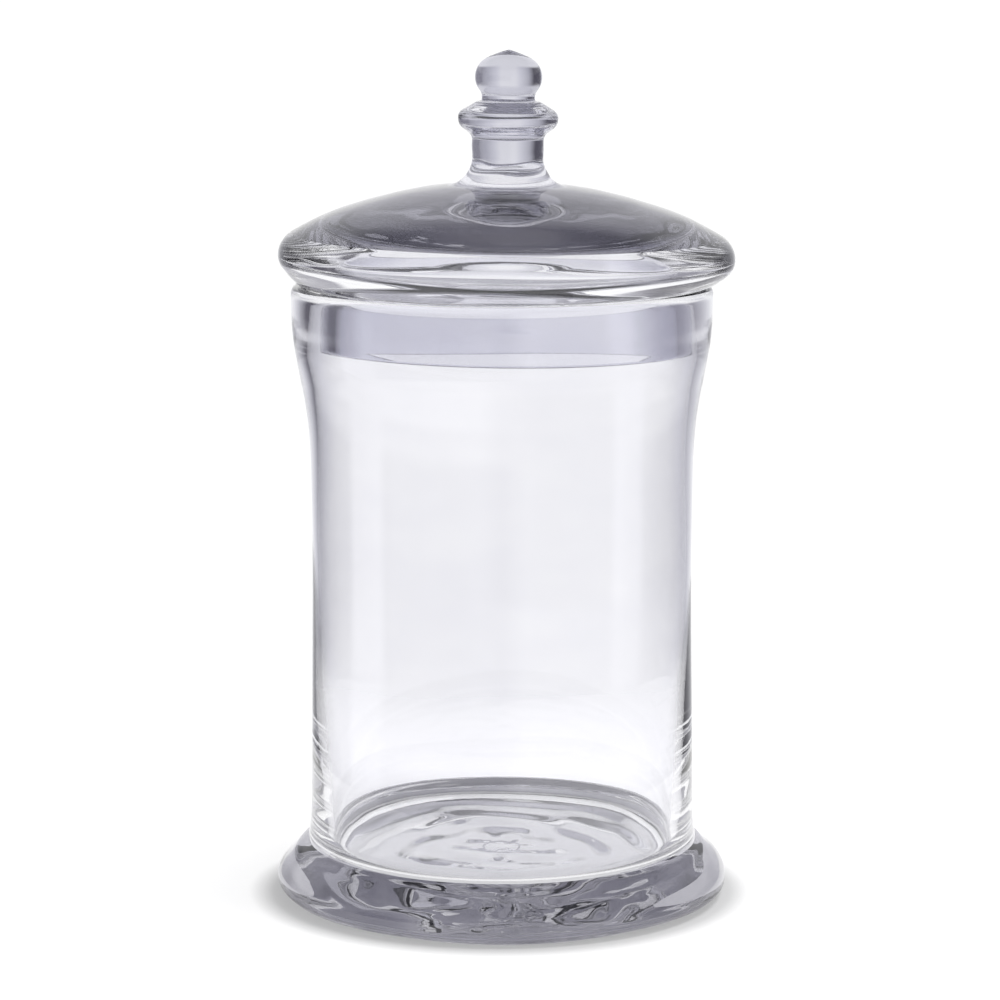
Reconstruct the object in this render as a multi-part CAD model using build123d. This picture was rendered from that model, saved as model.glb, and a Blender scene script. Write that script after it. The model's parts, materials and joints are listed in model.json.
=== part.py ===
from build123d import *
import os

# A hand-blown clear glass specimen jar with a lift-off lid, in millimetres, +Z up. The origin is
# the middle of the foot, on the surface that the jar stands on. Every piece is round about the Z
# axis, so each one is half an outline, drawn as (radius, height) and turned. Pieces that were
# joined hot share the very edges they meet on, which are drawn once, in functions of their own.
# A name that ends in _CURVE holds the points a smooth outline passes between its two ends.

# The foot, a heavy disc of glass
FOOT_R = 80.2  # at its widest
FOOT_WIDE_Z = 5.5  # height of the widest part
FOOT_TOP_CURVE = ((72.4, 18.0), (76.7, 13.5), (79.4, 9.3))
FOOT_EDGE_CURVE = ((78.7, 2.3),)
STAND_OUTER_R = 70.5  # the flat ring it stands on
STAND_INNER_R = 62.0
HOLLOW_Z = 2.2  # height of the hollow under it
HOLLOW_CURVE = ((36.0, 1.8),)
PONTIL_R = 7.0  # the scar where the pontil rod was broken off
PONTIL_DROP = 0.9  # how far the scar stands down from the hollow

# The blown body
BASE_Z = 11.5  # underside of the blown bottom, inside the foot
FLOOR_Z = 16.5  # top of the floor inside
BASE_TURN_R = 8.5  # round corner from the underside to the outer wall
FLOOR_TURN_R = 6.0  # round corner from the floor to the inner wall
WALL_FOOT_R = 69.5  # outer wall where the foot's top meets it
OUTER_WALL_CURVE = ((68.3, 36.0), (67.6, 80.0), (67.5, 150.0), (69.0, 174.0), (72.8, 195.0))
INNER_FOOT_R = 61.8  # inner wall where it leaves the round corner
INNER_WALL_CURVE = (
    (62.4, 36.0),
    (64.2, 69.0),
    (65.0, 112.0),
    (64.7, 150.0),
    (64.8, 168.0),
    (66.4, 184.0),
    (68.0, 194.0),
    (68.15, 200.2),
    (67.55, 207.3),
    (67.45, 211.0),
)
RIM_R = 74.1  # the flared rim
RIM_Z = 218.0  # its flat ground top
RIM_BORE_R = 67.55  # mouth of the jar, narrower than the wall just below it
RIM_ROUND = 2.2  # polished round on the rim's outer edge
RIM_EASE = 0.8  # and on its inner edge

# The lid
LID_GAP = 0.3  # between the ground faces of lid and rim
SEAT_R = 70.0  # outer edge of the lid's ground face
UNDERSIDE_CURVE = ((76.6, 221.9),)
BEAD_R = 9.0  # the round section of the flange
BEAD_RING_R = 71.1  # radius of the circle that the section's centre runs on
BEAD_MIDDLE_Z = 228.0
BEAD_END = 60.0  # degrees above level where the dome leaves the bead
SKIRT_R = 65.0  # the ring that hangs in the mouth
SKIRT_BORE_R = 59.8
SKIRT_END_Z = 197.3
SKIRT_EASE = 0.8  # round on its lower edges
SKIRT_TOP_Z = 223.0  # where the dome stands on it
DOME_TOP_Z = 252.8  # the land under the knob
DOME_OUTER_CURVE = ((62.0, 242.7), (50.0, 246.7), (37.0, 250.2))
DOME_THICKNESS = 18.8  # at the middle, a little less at the shoulder
DOME_EDGE = (58.8, 228.2)  # rim of the underside
DOME_EDGE_SLOPE = -11.5  # degrees
DOME_INNER_CURVE = ((30.0, 232.5), (46.0, 230.5))
HOLLOW_TURN_Z = 227.3  # foot of the tight corner between the underside and the skirt's bore

# The knob, three gathers of glass
NECK_FOOT_R = 21.0  # the neck's flared foot, on the dome
NECK_CURVE = ((15.4, 255.6), (12.5, 261.7), (12.6, 267.6))
NECK_TOP_R = 13.6
NECK_TOP_Z = 271.0
COLLAR_CURVE = ((16.9, 273.8), (17.4, 277.3), (13.2, 280.8), (10.0, 282.1))
COLLAR_TOP_R = 9.3
COLLAR_TOP_Z = 283.8
BALL_CURVE = ((10.4, 286.3), (11.7, 291.0), (9.6, 295.8), (3.6, 298.9))
TIP_Z = 300.0

# Directions that outlines leave and reach their ends in
OUTWARDS = (1, 0)
INWARDS = (-1, 0)
UPWARDS = (0, 1)
DOWNWARDS = (0, -1)
SHOULDER_SLOPE = (1, -0.4)
WALL_SLOPE = (-0.2, 1)
HOLLOW_SLOPE = (-1, 0.12)
CROWN_SLOPE = (-1, 0.1)
NECK_SPREAD = (1, 1)
TIP_SLOPE = (-1, 0.2)

SEAT_Z = RIM_Z + LID_GAP
SHOULDER = Vector(WALL_FOOT_R, BASE_Z + BASE_TURN_R)  # where foot, wall and outside meet
BEAD_MIDDLE = Vector(BEAD_RING_R, BEAD_MIDDLE_Z)
BEAD_SIDE = BEAD_MIDDLE + Vector(BEAD_R, 0)
BEAD_TOP = BEAD_MIDDLE + Vector(BEAD_R, 0).rotate(Axis.Z, BEAD_END)


def turned(*edges):
    """The solid that a closed half outline makes about the Z axis."""
    return revolve(Plane.XZ * make_face(Curve() + list(edges)), Axis.Z)


def curved(start, between, end, leaving, reaching):
    """A smooth edge through the points, with its direction at each end."""
    return Spline(start, *between, end, tangents=[leaving, reaching])


def level(height, radius):
    """A flat edge from the axis out to a radius."""
    return Line((0, height), (radius, height))


def middle(low, high):
    """The edge of a solid piece that lies on the axis."""
    return Line((0, low), (0, high))


def foot_seat():
    """Edges where the blown bottom sits in the foot, from the axis outwards."""
    corner_r = WALL_FOOT_R - BASE_TURN_R
    return [level(BASE_Z, corner_r), TangentArc((corner_r, BASE_Z), SHOULDER, tangent=OUTWARDS)]


def jar_foot():
    """The heavy disc under the jar, hollowed underneath, with the pontil scar in the middle."""
    widest = (FOOT_R, FOOT_WIDE_Z)
    top = curved(SHOULDER, FOOT_TOP_CURVE, widest, SHOULDER_SLOPE, DOWNWARDS)
    edge = curved(widest, FOOT_EDGE_CURVE, (STAND_OUTER_R, 0), DOWNWARDS, INWARDS)
    stand = Line((STAND_OUTER_R, 0), (STAND_INNER_R, 0))
    hollow = curved((STAND_INNER_R, 0), HOLLOW_CURVE, (PONTIL_R, HOLLOW_Z), HOLLOW_SLOPE, INWARDS)
    scar_r = PONTIL_R - PONTIL_DROP
    scar_z = HOLLOW_Z - PONTIL_DROP
    scar_edge = Line((PONTIL_R, HOLLOW_Z), (scar_r, scar_z))
    scar = level(scar_z, scar_r)
    return turned(*foot_seat(), top, edge, stand, hollow, scar_edge, scar, middle(scar_z, BASE_Z))


def jar_body():
    """The blown wall and closed bottom, waisted below a thick flared rim that is ground flat."""
    outer_top = (RIM_R, RIM_Z - RIM_ROUND)
    outer = curved(SHOULDER, OUTER_WALL_CURVE, outer_top, WALL_SLOPE, UPWARDS)
    rim_round = TangentArc(outer_top, (RIM_R - RIM_ROUND, RIM_Z), tangent=UPWARDS)
    rim = Line((RIM_R - RIM_ROUND, RIM_Z), (RIM_BORE_R + RIM_EASE, RIM_Z))
    inner_top = (RIM_BORE_R, RIM_Z - RIM_EASE)
    ease = TangentArc((RIM_BORE_R + RIM_EASE, RIM_Z), inner_top, tangent=INWARDS)
    turn_top = (INNER_FOOT_R, FLOOR_Z + FLOOR_TURN_R)
    inner = curved(turn_top, INNER_WALL_CURVE, inner_top, UPWARDS, UPWARDS)
    floor_r = INNER_FOOT_R - FLOOR_TURN_R
    turn = TangentArc((floor_r, FLOOR_Z), turn_top, tangent=OUTWARDS)
    floor = level(FLOOR_Z, floor_r)
    return turned(*foot_seat(), outer, rim_round, rim, ease, inner, turn, floor, middle(BASE_Z, FLOOR_Z))


def flange_side():
    """Edge where the flange wraps the top of the skirt."""
    return Line((SKIRT_R, SEAT_Z), (SKIRT_R, SKIRT_TOP_Z))


def flange_root():
    """Edge where the flange meets the dome, from the skirt up and outwards."""
    return Line((SKIRT_R, SKIRT_TOP_Z), BEAD_TOP)


def skirt_root():
    """Edge where the dome stands on the skirt."""
    return Line((SKIRT_BORE_R, SKIRT_TOP_Z), (SKIRT_R, SKIRT_TOP_Z))


def lid_flange():
    """The thick rounded bead round the lid, ground flat where it rests on the rim."""
    seat = Line((SKIRT_R, SEAT_Z), (SEAT_R, SEAT_Z))
    underside = curved((SEAT_R, SEAT_Z), UNDERSIDE_CURVE, BEAD_SIDE, OUTWARDS, UPWARDS)
    bead = TangentArc(BEAD_SIDE, BEAD_TOP, tangent=UPWARDS)
    return turned(flange_side(), seat, underside, bead, flange_root())


def lid_skirt():
    """The ring that hangs in the mouth and keeps the lid central, with its lower edges eased."""
    eased_z = SKIRT_END_Z + SKIRT_EASE
    outer_r = SKIRT_R - SKIRT_EASE
    bore_r = SKIRT_BORE_R + SKIRT_EASE
    outer = Line((SKIRT_R, SEAT_Z), (SKIRT_R, eased_z))
    outer_ease = TangentArc((SKIRT_R, eased_z), (outer_r, SKIRT_END_Z), tangent=DOWNWARDS)
    end = Line((outer_r, SKIRT_END_Z), (bore_r, SKIRT_END_Z))
    bore_ease = TangentArc((bore_r, SKIRT_END_Z), (SKIRT_BORE_R, eased_z), tangent=INWARDS)
    bore = Line((SKIRT_BORE_R, eased_z), (SKIRT_BORE_R, SKIRT_TOP_Z))
    return turned(flange_side(), outer, outer_ease, end, bore_ease, bore, skirt_root())


def lid_dome():
    """The heavy dome, flatter below than above, with a flat land in the middle for the knob."""
    bead_slope = Vector(UPWARDS).rotate(Axis.Z, BEAD_END)
    land = (NECK_FOOT_R, DOME_TOP_Z)
    outer = curved(BEAD_TOP, DOME_OUTER_CURVE, land, bead_slope, CROWN_SLOPE)
    under_z = DOME_TOP_Z - DOME_THICKNESS
    edge_slope = Vector(OUTWARDS).rotate(Axis.Z, DOME_EDGE_SLOPE)
    inner = curved((0, under_z), DOME_INNER_CURVE, DOME_EDGE, OUTWARDS, edge_slope)
    corner = TangentArc(DOME_EDGE, (SKIRT_BORE_R, HOLLOW_TURN_Z), tangent=edge_slope)
    wall = Line((SKIRT_BORE_R, HOLLOW_TURN_Z), (SKIRT_BORE_R, SKIRT_TOP_Z))
    top = level(DOME_TOP_Z, NECK_FOOT_R)
    under = (inner, corner, wall)
    return turned(skirt_root(), flange_root(), outer, top, middle(under_z, DOME_TOP_Z), *under)


def gather(low, between, high, leaving, reaching):
    """A solid gather of the knob between two flat joints, given the outer end of each joint."""
    side = curved(low, between, high, leaving, reaching)
    return turned(level(low[1], low[0]), side, level(high[1], high[0]), middle(low[1], high[1]))


def knob_neck():
    """The lowest gather, flared where it was pressed on to the dome."""
    low = (NECK_FOOT_R, DOME_TOP_Z)
    return gather(low, NECK_CURVE, (NECK_TOP_R, NECK_TOP_Z), CROWN_SLOPE, NECK_SPREAD)


def knob_collar():
    """The flattened ring that the fingers pull against."""
    low = (NECK_TOP_R, NECK_TOP_Z)
    return gather(low, COLLAR_CURVE, (COLLAR_TOP_R, COLLAR_TOP_Z), NECK_SPREAD, UPWARDS)


def knob_ball():
    """The flattened ball on top, with the small point left where the glass was cut off."""
    side = curved((COLLAR_TOP_R, COLLAR_TOP_Z), BALL_CURVE, (0, TIP_Z), UPWARDS, TIP_SLOPE)
    return turned(level(COLLAR_TOP_Z, COLLAR_TOP_R), side, middle(COLLAR_TOP_Z, TIP_Z))


PIECES = (jar_foot, jar_body, lid_flange, lid_skirt, lid_dome, knob_neck, knob_collar, knob_ball)

os.makedirs("parts", exist_ok=True)
for piece in PIECES:
    export_step(piece(), f"parts/{piece.__name__}.step")
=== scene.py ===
import json
import math
from collections import defaultdict

import bpy
import numpy as np
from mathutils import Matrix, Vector

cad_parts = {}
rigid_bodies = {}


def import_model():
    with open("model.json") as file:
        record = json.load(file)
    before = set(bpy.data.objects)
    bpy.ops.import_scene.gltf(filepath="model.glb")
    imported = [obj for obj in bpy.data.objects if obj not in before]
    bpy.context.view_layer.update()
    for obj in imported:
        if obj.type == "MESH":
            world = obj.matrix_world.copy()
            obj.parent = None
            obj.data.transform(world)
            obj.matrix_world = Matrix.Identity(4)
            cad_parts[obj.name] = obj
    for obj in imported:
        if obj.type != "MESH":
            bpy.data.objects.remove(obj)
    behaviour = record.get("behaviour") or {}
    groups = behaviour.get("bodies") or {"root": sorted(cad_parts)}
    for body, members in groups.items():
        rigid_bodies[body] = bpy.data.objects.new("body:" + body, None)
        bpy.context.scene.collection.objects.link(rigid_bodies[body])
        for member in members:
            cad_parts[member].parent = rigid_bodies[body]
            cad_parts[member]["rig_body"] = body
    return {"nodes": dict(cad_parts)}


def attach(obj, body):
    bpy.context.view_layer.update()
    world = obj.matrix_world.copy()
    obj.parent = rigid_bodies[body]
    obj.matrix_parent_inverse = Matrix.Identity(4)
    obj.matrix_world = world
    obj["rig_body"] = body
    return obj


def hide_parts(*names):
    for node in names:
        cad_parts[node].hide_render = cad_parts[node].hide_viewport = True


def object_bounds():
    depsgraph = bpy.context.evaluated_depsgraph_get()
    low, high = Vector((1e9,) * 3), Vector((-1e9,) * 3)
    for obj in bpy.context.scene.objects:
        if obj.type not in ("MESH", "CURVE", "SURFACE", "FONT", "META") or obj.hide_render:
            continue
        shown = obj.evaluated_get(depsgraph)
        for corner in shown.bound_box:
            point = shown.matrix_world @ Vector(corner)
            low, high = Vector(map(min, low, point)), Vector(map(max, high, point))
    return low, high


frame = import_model()
cad_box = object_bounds()

# A hand-made jar of clear glass and its lid. The CAD nodes are all round about the Z axis, so each
# one's outline is read from its mesh and turned again as a fine even grid, with the slow ripples
# that hand work leaves in it. Everything is in metres.

TOUCH = 2e-6  # points closer than this are one point
TOP = cad_box[1][2]
RADIUS = cad_box[1][0]  # of the foot, the widest part

# How finely the pieces are turned
SEGMENTS = 288
STEP = 0.0016  # along the outline
JOINT_STEP = 0.004  # along hidden joints
CORNER = math.radians(13)  # a sharper turn than this ends a smooth run
FLAT = 0.001  # a level or upright edge longer than this is a run of its own
FAN_R = 0.0004  # the grid closes in a fan this near the axis

# Ripples: name -> (height, most waves around, shortest wave along the outline)
RIPPLES = {
    "jar_foot": (0.00022, 7, 0.013),
    "jar_body": (0.00003, 6, 0.060),
    "lid_skirt": (0.00001, 4, 0.030),
    "lid_flange": (0.00001, 3, 0.014),
    "lid_dome": (0.00002, 3, 0.010),
    "knob_neck": (0.00006, 4, 0.006),
    "knob_collar": (0.00005, 4, 0.006),
    "knob_ball": (0.00005, 3, 0.010),
}
FLOOR_RIPPLE = (0.00010, 2, 0.010)  # rings in the floor of the jar
FLOOR_CORNER = 0.0055  # they reach this far up the round corner beside it
WAVES = 14  # summed for each ripple
LONGEST = 0.25  # the longest wave's pitch over the shortest one's
CALM = 0.005  # ripples die out this near a joint or a ground face

# The lid was made a little out of true
LID_ASIDE = 0.0015
KNOB_ASIDE = 0.0009  # more, at the tip
LID_DROP = math.tan(math.radians(0.7))  # towards the right, away from its ground face
DROP_OVER = 0.006  # the drop comes in over this much height from there


# ---- outlines ------------------------------------------------------------------------------------


def seam_links(node):
    """Points of a round node's outline as (radius, height), each with the points it is joined to."""
    seam = {}
    for vertex in node.data.vertices:
        if abs(vertex.co.y) < TOUCH and vertex.co.x > -TOUCH:
            seam[vertex.index] = (round(vertex.co.x, 6), round(vertex.co.z, 6))
    links = defaultdict(set)
    for edge in node.data.edges:
        a, b = (seam.get(index) for index in edge.vertices)
        if a is not None and b is not None and a != b:
            links[a].add(b)
            links[b].add(a)
    return links


def outline(node):
    """The ordered half outline of a round node, from the axis back to the axis, or closed on itself.

    Level faces have no seam, so their two ends are joined to each other, or else to the axis."""
    links = seam_links(node)
    ends = [p for p in links if len(links[p]) == 1 and p[0] > TOUCH]
    for a in ends:
        partners = [b for b in ends if b != a and abs(b[1] - a[1]) < TOUCH and len(links[b]) == 1]
        if len(links[a]) == 1 and partners:
            b = min(partners, key=lambda p: abs(p[0] - a[0]))
            links[a].add(b)
            links[b].add(a)
    loose = sorted((p for p in links if len(links[p]) == 1), key=lambda p: p[1])
    path = [loose[0] if loose else min(links)]
    while True:
        onward = [p for p in links[path[-1]] if p not in path]
        if not onward:
            break
        path.append(onward[0])
    if loose:
        path = [(0.0, path[0][1]), *path, (0.0, path[-1][1])]
    else:
        path.append(path[0])
    points = np.array(path)
    apart = np.linalg.norm(np.diff(points, axis=0), axis=1) > TOUCH
    points = points[np.append(True, apart)]
    area = np.sum(points[:-1, 0] * points[1:, 1] - points[1:, 0] * points[:-1, 1])
    return points if area > 0 else points[::-1]  # anticlockwise, so that outwards is on the right


def off_line(points, line):
    """How far each point is from a line of many short edges."""
    start, along = line[:-1], np.diff(line, axis=0)
    share = ((points[:, None] - start) * along).sum(2) / (along**2).sum(1)
    foot = start + share.clip(0, 1)[..., None] * along
    return np.linalg.norm(points[:, None] - foot, axis=2).min(1)


def with_points_of(points, others):
    """The outline, with those of the other outlines' points that lie within its edges."""
    made = [points[0]]
    for a, b in zip(points, points[1:]):
        from_ends = np.minimum(np.linalg.norm(others - a, axis=1), np.linalg.norm(others - b, axis=1))
        within = others[(off_line(others, np.array([a, b])) < TOUCH) & (from_ends > TOUCH)]
        made += sorted(within, key=lambda q: np.linalg.norm(q - a))
        made.append(b)
    return np.array(made)


def runs(points):
    """The smooth stretches of an outline, split at its corners and at the ends of its flats."""
    ways = np.diff(points, axis=0)
    lengths = np.linalg.norm(ways, axis=1)
    flat = (np.abs(ways).min(1) < TOUCH) & (lengths > FLAT)
    ways /= lengths[:, None]
    turn = np.arccos(np.clip((ways[:-1] * ways[1:]).sum(1), -1, 1))
    ends = (turn > CORNER) | flat[:-1] | flat[1:]
    corners = [0, *(np.flatnonzero(ends) + 1), len(points) - 1]
    return [points[a : b + 1] for a, b in zip(corners, corners[1:])]


def evenly(points, step):
    """Evenly spaced points on the smooth curve through points."""
    gaps = np.linalg.norm(np.diff(points, axis=0), axis=1)
    at = np.append(0, np.cumsum(gaps))
    wanted = np.linspace(0, at[-1], max(len(points), round(at[-1] / step) + 1))
    if len(points) == 2:
        return points[0] + (points[1] - points[0]) * (wanted / at[-1])[:, None]
    slopes = np.gradient(points, at, axis=0, edge_order=2)
    left = np.clip(np.searchsorted(at, wanted, "right") - 1, 0, len(gaps) - 1)
    gap = gaps[left, None]
    t = (wanted - at[left])[:, None] / gap
    there = 3 * t**2 - 2 * t**3
    bend = (t**3 - 2 * t**2 + t) * slopes[left] + (t**3 - t**2) * slopes[left + 1]
    return points[left] * (1 - there) + points[left + 1] * there + bend * gap


def grid_rows(name):
    """Rows of the turned grid as (radius, height), and for each gap between rows, whether it is a joint."""
    fellows = [outlines[other] for other in outlines if other != name and body_of[other] == body_of[name]]
    corners = np.unique(np.concatenate(fellows), axis=0)
    rows, joint = [], []
    for run in runs(with_points_of(outlines[name], corners)):
        chord = len(run) // 2 - 1
        middle = run[chord : chord + 2].mean(0, keepdims=True)
        hidden = min(off_line(middle, other)[0] for other in fellows) < TOUCH
        made = evenly(run, JOINT_STEP if hidden else STEP)
        rows.extend(made[:-1])
        joint.extend([hidden] * (len(made) - 1))
    rows.append(outlines[name][-1])
    return np.array(rows), np.array(joint)


# ---- hand work -----------------------------------------------------------------------------------


def fade(distance, over):
    """0 at no distance, rising smoothly to 1."""
    t = np.clip(distance / over, 0, 1)
    return t * t * (3 - 2 * t)


def waves(along, angle, ripple, seed):
    """A smooth random ripple over the grid, from a sum of waves."""
    height, around, length = ripple
    rng = np.random.default_rng(seed)
    total = np.zeros((len(along), len(angle)))
    for _ in range(WAVES):
        turns = rng.integers(0, around + 1)
        pitch = rng.uniform(LONGEST, 1.0) * 2 * np.pi / length * rng.choice([-1, 1])
        total += np.cos(turns * angle + pitch * along[:, None] + rng.uniform(0, 2 * np.pi))
    return height * total / math.sqrt(WAVES / 2)


def calmness(rows, joint, closed):
    """1 where a row may ripple freely, falling to 0 at joints, ground faces and the axis."""
    still = joint | np.roll(joint, 1) if closed else np.append(joint, False) | np.append(False, joint)
    for height in GROUND_HEIGHTS:
        still |= np.abs(rows[:, 1] - height) < TOUCH
    gaps = np.linalg.norm(rows[:, None] - rows[still], axis=2).min(1)
    return fade(gaps, CALM) * fade(rows[:, 0], 2 * CALM)


def out_of_true(spot):
    """The lid's lean: aside, more so towards the tip, and down to the right away from its seat."""
    height = spot[..., 2]
    tip = np.clip((height - SEAT) / (TOP - SEAT), 0, 1)
    spot[..., 2] -= LID_DROP * spot[..., 0] * fade(np.abs(height - SEAT), DROP_OVER)
    spot[..., 0] += LID_ASIDE + KNOB_ASIDE * tip


def grid_points(name, rows, joint, closed, angle):
    """The grid's points, rippled along the outline's outward direction."""
    before = np.roll(rows, 1, axis=0) if closed else np.vstack([rows[:1], rows[:-1]])
    after = np.roll(rows, -1, axis=0) if closed else np.vstack([rows[1:], rows[-1:]])
    way = after - before
    way /= np.linalg.norm(way, axis=1, keepdims=True)
    along = np.append(0, np.cumsum(np.linalg.norm(np.diff(rows, axis=0), axis=1)))
    seed = list(outlines).index(name)
    push = waves(along, angle, RIPPLES[name], seed)
    if name == "jar_body":
        low = fade(FLOOR_TOP - rows[:, 1], CALM)[:, None]
        push = push * (1 - low) + waves(along, angle, FLOOR_RIPPLE, seed) * low
    push *= calmness(rows, joint, closed)[:, None]
    radius = rows[:, :1] + way[:, 1:] * push
    spot = np.empty((len(rows), len(angle), 3))
    spot[..., 0] = radius * np.cos(angle)
    spot[..., 1] = radius * np.sin(angle)
    spot[..., 2] = rows[:, 1:] - way[:, :1] * push
    if body_of[name] == "lid":
        out_of_true(spot)
    return spot


# ---- turned pieces -------------------------------------------------------------------------------

OVER, UNDER, FUSED = range(3)  # material slots: outer faces, undersides, joints
# Faces of these that point down get the plain clear glass, not the piece's darkened colour, which is
# painted shade.
UNDERSIDES = {"lid_dome": 0.3, "jar_foot": -0.9}  # their outward directions rise less than this


def grid_quads(row_count, gap_count):
    """Quads between the grid's rows; a closed outline's last gap leads back to its first row."""
    here = np.arange(SEGMENTS)
    beside = (here + 1) % SEGMENTS
    gap = np.arange(gap_count)[:, None]
    first = gap * SEGMENTS
    after = (gap + 1) % row_count * SEGMENTS
    quads = np.stack([first + here, first + beside, after + beside, after + here], axis=2)
    return quads.reshape(-1, 4).tolist()


def gap_slots(name, rows, joint):
    """The material slot of each gap between rows."""
    ahead = np.roll(rows, -1, axis=0)[: len(joint)] - rows[: len(joint)]
    under = -ahead[:, 0] < UNDERSIDES.get(name, -math.inf) * np.linalg.norm(ahead, axis=1)
    return np.where(joint, FUSED, np.where(under, UNDER, OVER)).tolist()


def turned_mesh(name):
    """A round CAD node's outline turned as an even grid of quads, with its face slots."""
    rows, joint = grid_rows(name)
    closed = rows[0, 0] > TOUCH
    if closed:
        rows = rows[:-1]
    else:
        rows[[0, -1], 0] = FAN_R
    here = np.arange(SEGMENTS)
    spot = grid_points(name, rows, joint, closed, here * 2 * np.pi / SEGMENTS)
    points = spot.reshape(-1, 3).tolist()
    faces = grid_quads(len(rows), len(joint))
    slot_of = gap_slots(name, rows, joint)
    slots = np.repeat(slot_of, SEGMENTS).tolist()
    if not closed:
        for end, order in ((0, -1), (-1, 1)):
            ring = (np.arange(len(rows))[end] * SEGMENTS + here)[::order]
            faces += [[int(a), int(b), len(points)] for a, b in zip(ring, np.roll(ring, -1))]
            slots += [slot_of[end]] * SEGMENTS
            points.append(spot[end].mean(0).tolist())
    mesh = bpy.data.meshes.new(name + "_glass")
    mesh.from_pydata(points, [], faces)
    return mesh, slots


def turned(name, materials):
    """The piece that stands for a round CAD node, with a material for each slot."""
    mesh, slots = turned_mesh(name)
    for material in materials:
        mesh.materials.append(material)
    mesh.polygons.foreach_set("material_index", slots)
    mesh.polygons.foreach_set("use_smooth", [True] * len(slots))
    mark_sharp(mesh)
    piece = bpy.data.objects.new(mesh.name, mesh)
    bpy.context.scene.collection.objects.link(piece)
    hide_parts(name)
    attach(piece, body_of[name])
    body_of[name] + "_glass"


def mark_sharp(mesh):
    """Sharp edges where glass meets a hidden joint, so that neither bends the other's shading."""
    slots_at = defaultdict(set)
    for face in mesh.polygons:
        for key in face.edge_keys:
            slots_at[key].add(face.material_index)
    for edge in mesh.edges:
        edge.use_edge_sharp = len(slots_at[edge.key]) > 1


# ---- materials -----------------------------------------------------------------------------------

IOR = 1.5
CLEAR = ((0.945, 0.945, 0.965), (0.925, 0.925, 0.95))  # lavender-grey: light and deep
TINTS_AND_PAINTED_SHADE = {  # painted shade: the glass's lavender tint, darkened far past it in the dome and the foot, and less in the knob
    "jar_foot": ((0.28, 0.275, 0.32), (0.19, 0.186, 0.226)),
    "lid_flange": ((0.97, 0.97, 0.99), (0.95, 0.95, 0.975)),
    "lid_skirt": ((0.87, 0.87, 0.91), (0.85, 0.85, 0.90)),
    "lid_dome": ((0.155, 0.151, 0.184), (0.085, 0.083, 0.108)),
    "knob_neck": ((0.68, 0.68, 0.74), (0.60, 0.60, 0.66)),
    "knob_collar": ((0.72, 0.72, 0.78), (0.62, 0.62, 0.69)),
    "knob_ball": ((0.68, 0.68, 0.74), (0.58, 0.58, 0.65)),
}
# Strengths of the streaks' bump
STREAKS = {"lid_dome": 0.20, "jar_foot": 0.08, "knob_neck": 0.08, "knob_collar": 0.08}
FAINT_STREAKS = 0.01
STREAKS_FADE = ("lid_dome", "lid_flange")  # on these the streaks fade away outwards
STREAKED_R = (0.40 * RADIUS, 0.69 * RADIUS)  # between these distances from the axis
STREAK_DEPTH = 0.0004  # of the bump at full strength

# Noises: (stretch, scale, detail)
UNEVEN = ((1, 1, 2), 25, 2)  # in the tint
SMEAR = ((1, 1, 1), 60, 3)
CORDS = ((1, 1, 7), 40, 3)  # the streaks
HAZE = ((1, 1, 1), 30, 2)  # in the fused joints

TINT_TURNS = (0.35, 0.65)  # values of the noise where the tint is light, and where it is deep
SMEAR_TURNS = (0.5, 0.8)  # where the smear starts, and where it is whole
SMEAR_ROUGHNESS = 0.02
HAZE_LOSS = 0.01  # light lost in a fused joint, at most


def new_material(name):
    material = bpy.data.materials.new(name)
    material.use_nodes = True
    tree = material.node_tree
    tree.nodes.clear()
    return material, tree


def streaked_noise(tree, stretch, scale, detail):
    """Noise drawn out into level streaks."""
    place = tree.nodes.new("ShaderNodeTexCoord")
    mapping = tree.nodes.new("ShaderNodeMapping")
    mapping.inputs["Scale"].default_value = stretch
    noise = tree.nodes.new("ShaderNodeTexNoise")
    noise.inputs["Scale"].default_value = scale
    noise.inputs["Detail"].default_value = detail
    tree.links.new(place.outputs["Object"], mapping.inputs["Vector"])
    tree.links.new(mapping.outputs["Vector"], noise.inputs["Vector"])
    return noise.outputs["Fac"]


def ramp(tree, value, stops):
    """A colour ramp of (position, colour) stops."""
    node = tree.nodes.new("ShaderNodeValToRGB")
    tree.links.new(value, node.inputs[0])
    elements = node.color_ramp.elements
    while len(elements) < len(stops):
        elements.new(0.5)
    for element, (at, colour) in zip(elements, stops):
        element.position = at
        element.color = (*colour, 1)
    return node.outputs[0]


def grey(level):
    return (level, level, level)


def maths(tree, operation, *values):
    node = tree.nodes.new("ShaderNodeMath")
    node.operation = operation
    for socket, value in zip(node.inputs, values):
        if isinstance(value, (int, float)):
            socket.default_value = value
        else:
            tree.links.new(value, socket)
    return node.outputs[0]


def near_axis(tree):
    """1 near the axis, 0 further out than the fading streaks reach."""
    split = tree.nodes.new("ShaderNodeSeparateXYZ")
    tree.links.new(tree.nodes.new("ShaderNodeTexCoord").outputs["Object"], split.inputs[0])
    x, y, _ = split.outputs
    squares = maths(tree, "ADD", maths(tree, "MULTIPLY", x, x), maths(tree, "MULTIPLY", y, y))
    within = tree.nodes.new("ShaderNodeMapRange")
    within.interpolation_type = "SMOOTHSTEP"
    within.inputs["From Min"].default_value = STREAKED_R[0]
    within.inputs["From Max"].default_value = STREAKED_R[1]
    within.inputs["To Min"].default_value = 1.0
    within.inputs["To Max"].default_value = 0.0
    tree.links.new(maths(tree, "SQRT", squares), within.inputs["Value"])
    return within.outputs["Result"]


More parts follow.
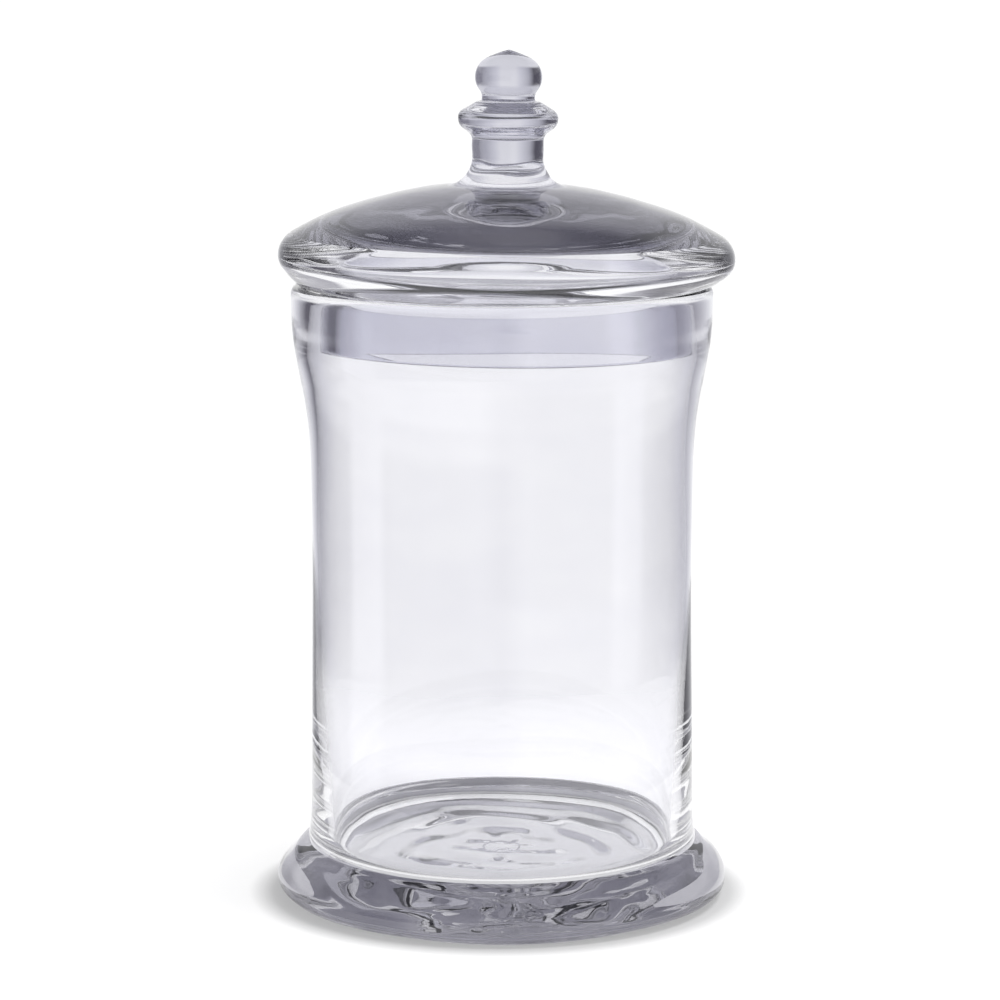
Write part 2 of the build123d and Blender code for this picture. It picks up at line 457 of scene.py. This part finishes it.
def glass_material(name, tints_and_shade, streaks, fading=False):
    """Clear glass: an uneven tint between two colours, darkened as painted shade for some pieces; cords
    that bend the light; and a trace of smear.
    """
    material, tree = new_material(name)
    out = tree.nodes.new("ShaderNodeOutputMaterial")
    shader = tree.nodes.new("ShaderNodeBsdfPrincipled")
    shader.inputs["Transmission Weight"].default_value = 1.0
    shader.inputs["IOR"].default_value = IOR
    tint = ramp(tree, streaked_noise(tree, *UNEVEN), list(zip(TINT_TURNS, tints_and_shade)))
    tree.links.new(tint, shader.inputs["Base Color"])
    smears = (grey(0.0), grey(SMEAR_ROUGHNESS))
    smear = ramp(tree, streaked_noise(tree, *SMEAR), list(zip(SMEAR_TURNS, smears)))
    tree.links.new(smear, shader.inputs["Roughness"])
    bump = tree.nodes.new("ShaderNodeBump")
    bump.inputs["Strength"].default_value = streaks
    bump.inputs["Distance"].default_value = STREAK_DEPTH
    cords = streaked_noise(tree, *CORDS)
    if fading:
        cords = maths(tree, "MULTIPLY", cords, near_axis(tree))
    tree.links.new(cords, bump.inputs["Height"])
    tree.links.new(bump.outputs["Normal"], shader.inputs["Normal"])
    tree.links.new(shader.outputs[0], out.inputs["Surface"])
    return material


def fused_material():
    """Two pieces of glass fused face to face: light goes straight through."""
    material, tree = new_material("fused_joint")
    out = tree.nodes.new("ShaderNodeOutputMaterial")
    clear = tree.nodes.new("ShaderNodeBsdfTransparent")
    haze = [(0.0, grey(1.0)), (1.0, grey(1.0 - HAZE_LOSS))]
    tree.links.new(ramp(tree, streaked_noise(tree, *HAZE), haze), clear.inputs["Color"])
    tree.links.new(clear.outputs[0], out.inputs["Surface"])
    return material


# ---- studio --------------------------------------------------------------------------------------

CAMERA_AT = (-0.0007, -1.3107, 0.3577)  # beside the axis, in front and above
CAMERA_DOWN = math.radians(9.37)
LENS = 135
SENSOR = 36

WHITE = (1.05, 1.05, 1.05)
FLAG = (0.10, 0.095, 0.12)
SIDE = (0.88, 0.88, 0.92)
HALF = (0.58, 0.58, 0.63)
DIM = (0.34, 0.335, 0.38)
OVERHEAD = (  # degrees above level, and how much of what stands around shows there
    (8, 1.0),
    (20, 0.92),
    (34, 0.85),
    (46, 0.12),
    (90, 0.10),
)
AROUND = (  # degrees to the right of straight behind the jar, and what stands there
    (-180, DIM),
    (-150, FLAG),
    (-106, FLAG),
    (-100, SIDE),
    (-80, SIDE),
    (-74, FLAG),
    (-38, FLAG),
    (-26, HALF),
    (-14, SIDE),
    (-8, WHITE),
    (8, WHITE),
    (14, SIDE),
    (28, HALF),
    (42, DIM),
    (75, DIM),
    (105, WHITE),
    (165, WHITE),
    (180, DIM),
)
LOW = (-18.5, -14)  # between these degrees the white floor gives way to what stands around
HIGH = (8, 14)  # and between these that gives way to a softer light from all around
SOFT = (0.92, 0.92, 0.96)
SOFT_SHARE = 0.85  # of the softer light there


def mixed(tree, share, first, second):
    """Two colours mixed by share, each a socket or a plain colour."""
    node = tree.nodes.new("ShaderNodeMix")
    node.data_type = "RGBA"
    tree.links.new(share, node.inputs["Factor"])
    for socket, value in ((node.inputs["A"], first), (node.inputs["B"], second)):
        if isinstance(value, tuple):
            socket.default_value = (*value, 1)
        else:
            tree.links.new(value, socket)
    return node.outputs["Result"]


def band(tree, angle, limits):
    """0 below the limits, in degrees, and 1 above them."""
    node = tree.nodes.new("ShaderNodeMapRange")
    node.interpolation_type = "SMOOTHSTEP"
    node.inputs["From Min"].default_value = math.radians(limits[0])
    node.inputs["From Max"].default_value = math.radians(limits[1])
    tree.links.new(angle, node.inputs["Value"])
    return node.outputs["Result"]


def make_studio():
    """White paper behind and below, dark flags and a dim room around, softer light higher up, and a
    dark ceiling."""
    world = bpy.data.worlds.new("studio")
    bpy.context.scene.world = world
    world.use_nodes = True
    tree = world.node_tree
    tree.nodes.clear()
    out = tree.nodes.new("ShaderNodeOutputWorld")
    glow = tree.nodes.new("ShaderNodeBackground")
    split = tree.nodes.new("ShaderNodeSeparateXYZ")
    tree.links.new(tree.nodes.new("ShaderNodeTexCoord").outputs["Generated"], split.inputs[0])
    x, y, z = split.outputs
    share = maths(tree, "MULTIPLY_ADD", maths(tree, "ARCTAN2", x, y), 1 / (2 * math.pi), 0.5)
    around = ramp(tree, share, [((degrees + 180) / 360, colour) for degrees, colour in AROUND])
    height = maths(tree, "ARCSINE", z)
    lower = mixed(tree, band(tree, height, LOW), WHITE, around)
    above = maths(tree, "MULTIPLY", band(tree, height, HIGH), SOFT_SHARE)
    sides = mixed(tree, above, lower, SOFT)
    rise = maths(tree, "DIVIDE", height, math.pi / 2)
    overhead = ramp(tree, rise, [(degrees / 90, grey(shown)) for degrees, shown in OVERHEAD])
    tree.links.new(mixed(tree, overhead, (0.0, 0.0, 0.0), sides), glow.inputs["Color"])
    tree.links.new(glow.outputs[0], out.inputs["Surface"])


PAPER_R = 3.24 * RADIUS
PAPER_GLOW_AND_PAINTED_SHADOW = (  # radius over the paper's, and how bright; the dimmer middle under the jar and the dim ring round its foot are painted shadow, and the glow rising outward hides the lamp's shadow further out
    (0.0, grey(0.68)),
    (0.25, grey(0.66)),
    (0.285, grey(0.34)),
    (0.315, grey(0.40)),
    (0.35, grey(0.84)),
    (0.55, grey(1.00)),
    (1.0, grey(1.05)),
)
PAPER_COLOUR = (  # radius over the paper's, and how much light it throws back
    (0.0, grey(0.40)),
    (0.35, grey(0.40)),
    (1.0, grey(0.0)),
)


def make_floor():
    """White paper lit from below, with painted shadow under the jar and in a ring round its foot."""
    mesh = bpy.data.meshes.new("floor")
    angles = np.linspace(0, 2 * np.pi, SEGMENTS, endpoint=False)
    ring = [(PAPER_R * math.cos(a), PAPER_R * math.sin(a), 0) for a in angles]
    mesh.from_pydata(ring, [], [list(range(SEGMENTS))])
    floor = bpy.data.objects.new("floor", mesh)
    bpy.context.scene.collection.objects.link(floor)
    material, tree = new_material("pale_paper")
    out = tree.nodes.new("ShaderNodeOutputMaterial")
    shader = tree.nodes.new("ShaderNodeBsdfPrincipled")
    shader.inputs["Roughness"].default_value = 1.0
    shader.inputs["Specular IOR Level"].default_value = 0.0
    shader.inputs["Emission Strength"].default_value = 1.0
    length = tree.nodes.new("ShaderNodeVectorMath")
    length.operation = "LENGTH"
    tree.links.new(tree.nodes.new("ShaderNodeTexCoord").outputs["Object"], length.inputs[0])
    share = maths(tree, "DIVIDE", length.outputs["Value"], PAPER_R)
    tree.links.new(ramp(tree, share, PAPER_GLOW_AND_PAINTED_SHADOW), shader.inputs["Emission Color"])
    tree.links.new(ramp(tree, share, PAPER_COLOUR), shader.inputs["Base Color"])
    tree.links.new(shader.outputs[0], out.inputs["Surface"])
    mesh.materials.append(material)


KEY_AT = Vector((0.55, -0.15, 1.3))
KEY_SIZE = 0.6
KEY_WATTS = 10


def make_key():
    """A broad light high on the right, for the soft shadow on the left. The glass doesn't show it."""
    data = bpy.data.lights.new("key", "AREA")
    data.shape = "DISK"
    data.size = KEY_SIZE
    data.energy = KEY_WATTS
    key = bpy.data.objects.new("key", data)
    key.location = KEY_AT
    key.rotation_euler = (-KEY_AT).to_track_quat("-Z", "Y").to_euler()
    key.visible_glossy = False
    key.visible_transmission = False
    bpy.context.scene.collection.objects.link(key)


def make_camera():
    data = bpy.data.cameras.new("camera")
    data.lens = LENS
    data.sensor_width = SENSOR
    camera = bpy.data.objects.new("camera", data)
    camera.location = CAMERA_AT
    camera.rotation_euler = (math.pi / 2 - CAMERA_DOWN, 0, 0)
    bpy.context.scene.collection.objects.link(camera)
    bpy.context.scene.camera = camera


BOUNCES = 32
GLOSSY_BOUNCES = 12
CLEAR_PASSES = 64


def see_through_glass():
    """Enough bounces for light to find its way through thick glass, and plain tones."""
    scene = bpy.context.scene
    scene.view_settings.view_transform = "Standard"
    scene.cycles.max_bounces = BOUNCES
    scene.cycles.transmission_bounces = BOUNCES
    scene.cycles.glossy_bounces = GLOSSY_BOUNCES
    scene.cycles.transparent_max_bounces = CLEAR_PASSES


outlines = {name: outline(node) for name, node in frame["nodes"].items()}
body_of = {name: node["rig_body"] for name, node in frame["nodes"].items()}
SEAT = outlines["lid_flange"][:, 1].min()
RIM = outlines["jar_body"][:, 1].max()
GROUND_HEIGHTS = (0.0, RIM, SEAT)
FLOOR_TOP = outlines["jar_body"][-1, 1] + FLOOR_CORNER

clear = glass_material("clear_glass", CLEAR, FAINT_STREAKS)
fused = fused_material()
for name in outlines:
    streaks = STREAKS.get(name, FAINT_STREAKS)
    # The outer faces take the piece's colour, which is painted shade in the dome, the foot and the knob;
    # the undersides take the clear glass.
    over = glass_material(name + "_glass", TINTS_AND_PAINTED_SHADE.get(name, CLEAR), streaks, name in STREAKS_FADE)
    turned(name, (over, clear, fused))
make_studio()
make_floor()
make_key()
make_camera()
see_through_glass()
